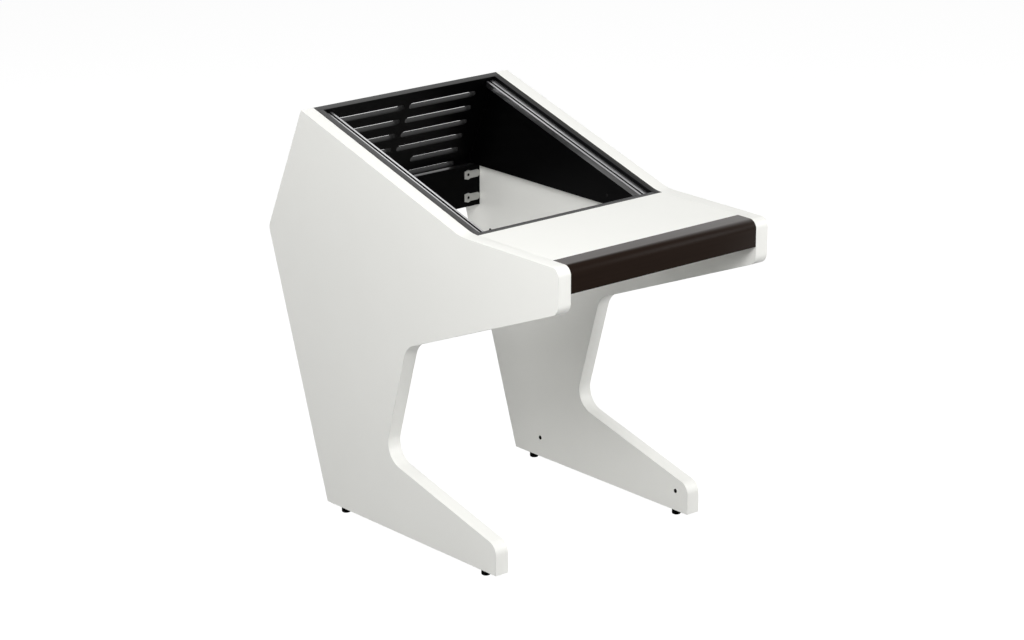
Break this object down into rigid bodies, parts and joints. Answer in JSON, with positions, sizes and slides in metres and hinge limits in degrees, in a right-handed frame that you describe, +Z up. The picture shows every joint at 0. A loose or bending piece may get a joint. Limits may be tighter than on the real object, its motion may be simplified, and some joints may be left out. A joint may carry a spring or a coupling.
{
  "type": "studio desk with a sloping rack bay",
  "caption": "Studio desk: two tall side panels shaped like a C carry a desk top with a dark armrest, and behind it a sloping bay with rack rails and a slotted back.",
  "frame": {"origin": "centre of the whole desk's footprint at floor level, under the four feet's rest plane", "axes": "+Z up; +Y from the armrest to the back; +X to the right of someone sitting at the desk"},
  "size_m": [0.6, 0.9922, 0.9189],
  "materials": {
    "white_board": "satin white laminate over board, with matching edge band",
    "black_board": "black laminate over board, smooth, low sheen",
    "armrest_board": "dark brown stained satin",
    "rail_aluminium": "clear anodised extrusion",
    "black_steel": "black finish, satin",
    "plate_steel": "zinc plated, dull",
    "zinc_steel": "zinc plated",
    "zinc_cast": "bare die casting",
    "beech": "bare fluted beech",
    "brass_insert": "bare",
    "foot_plastic": "black moulded plastic"
  },
  "bodies": {
    "frame": {"side_panel_left": "white_board", "side_panel_right": "white_board", "desk_top": "white_board", "armrest": "armrest_board", "rack_side_left": "black_board", "rack_side_right": "black_board", "rack_front_board": "black_board", "rack_back_board": "black_board", "cross_board": "black_board", "rail_left": "rail_aluminium", "rail_right": "rail_aluminium", "thread_strip_left": "black_steel", "thread_strip_right": "black_steel", "rail_screws_left": "zinc_steel", "rail_screws_right": "zinc_steel", "side_board_screws": "black_steel", "cross_plate_left_upper": "plate_steel", "cross_plate_left_lower": "plate_steel", "cross_plate_right_upper": "plate_steel", "cross_plate_right_lower": "plate_steel", "cross_plate_screws": "black_steel", "desk_cams": "zinc_cast", "desk_cam_bolts": "zinc_steel", "desk_dowels": "beech", "armrest_dowels": "beech", "armrest_brackets": "zinc_steel", "armrest_screws": "zinc_steel", "back_board_dowels": "beech", "front_board_dowels": "beech", "foot_insert_left_front": "brass_insert", "foot_insert_right_front": "brass_insert", "foot_insert_left_rear": "brass_insert", "foot_insert_right_rear": "brass_insert"},
    "foot_left_front": {"foot_left_front": "foot_plastic"},
    "foot_right_front": {"foot_right_front": "foot_plastic"},
    "foot_left_rear": {"foot_left_rear": "foot_plastic"},
    "foot_right_rear": {"foot_right_rear": "foot_plastic"}
  },
  "joints": [
    {"name": "foot_left_front_screw", "type": "slide", "parent": "frame", "child": "foot_left_front", "axis": [0, 0, -1], "range_m": [0, 0.012]},
    {"name": "foot_right_front_screw", "type": "slide", "parent": "frame", "child": "foot_right_front", "axis": [0, 0, -1], "range_m": [0, 0.012]},
    {"name": "foot_left_rear_screw", "type": "slide", "parent": "frame", "child": "foot_left_rear", "axis": [0, 0, -1], "range_m": [0, 0.012]},
    {"name": "foot_right_rear_screw", "type": "slide", "parent": "frame", "child": "foot_right_rear", "axis": [0, 0, -1], "range_m": [0, 0.012]}
  ]
}
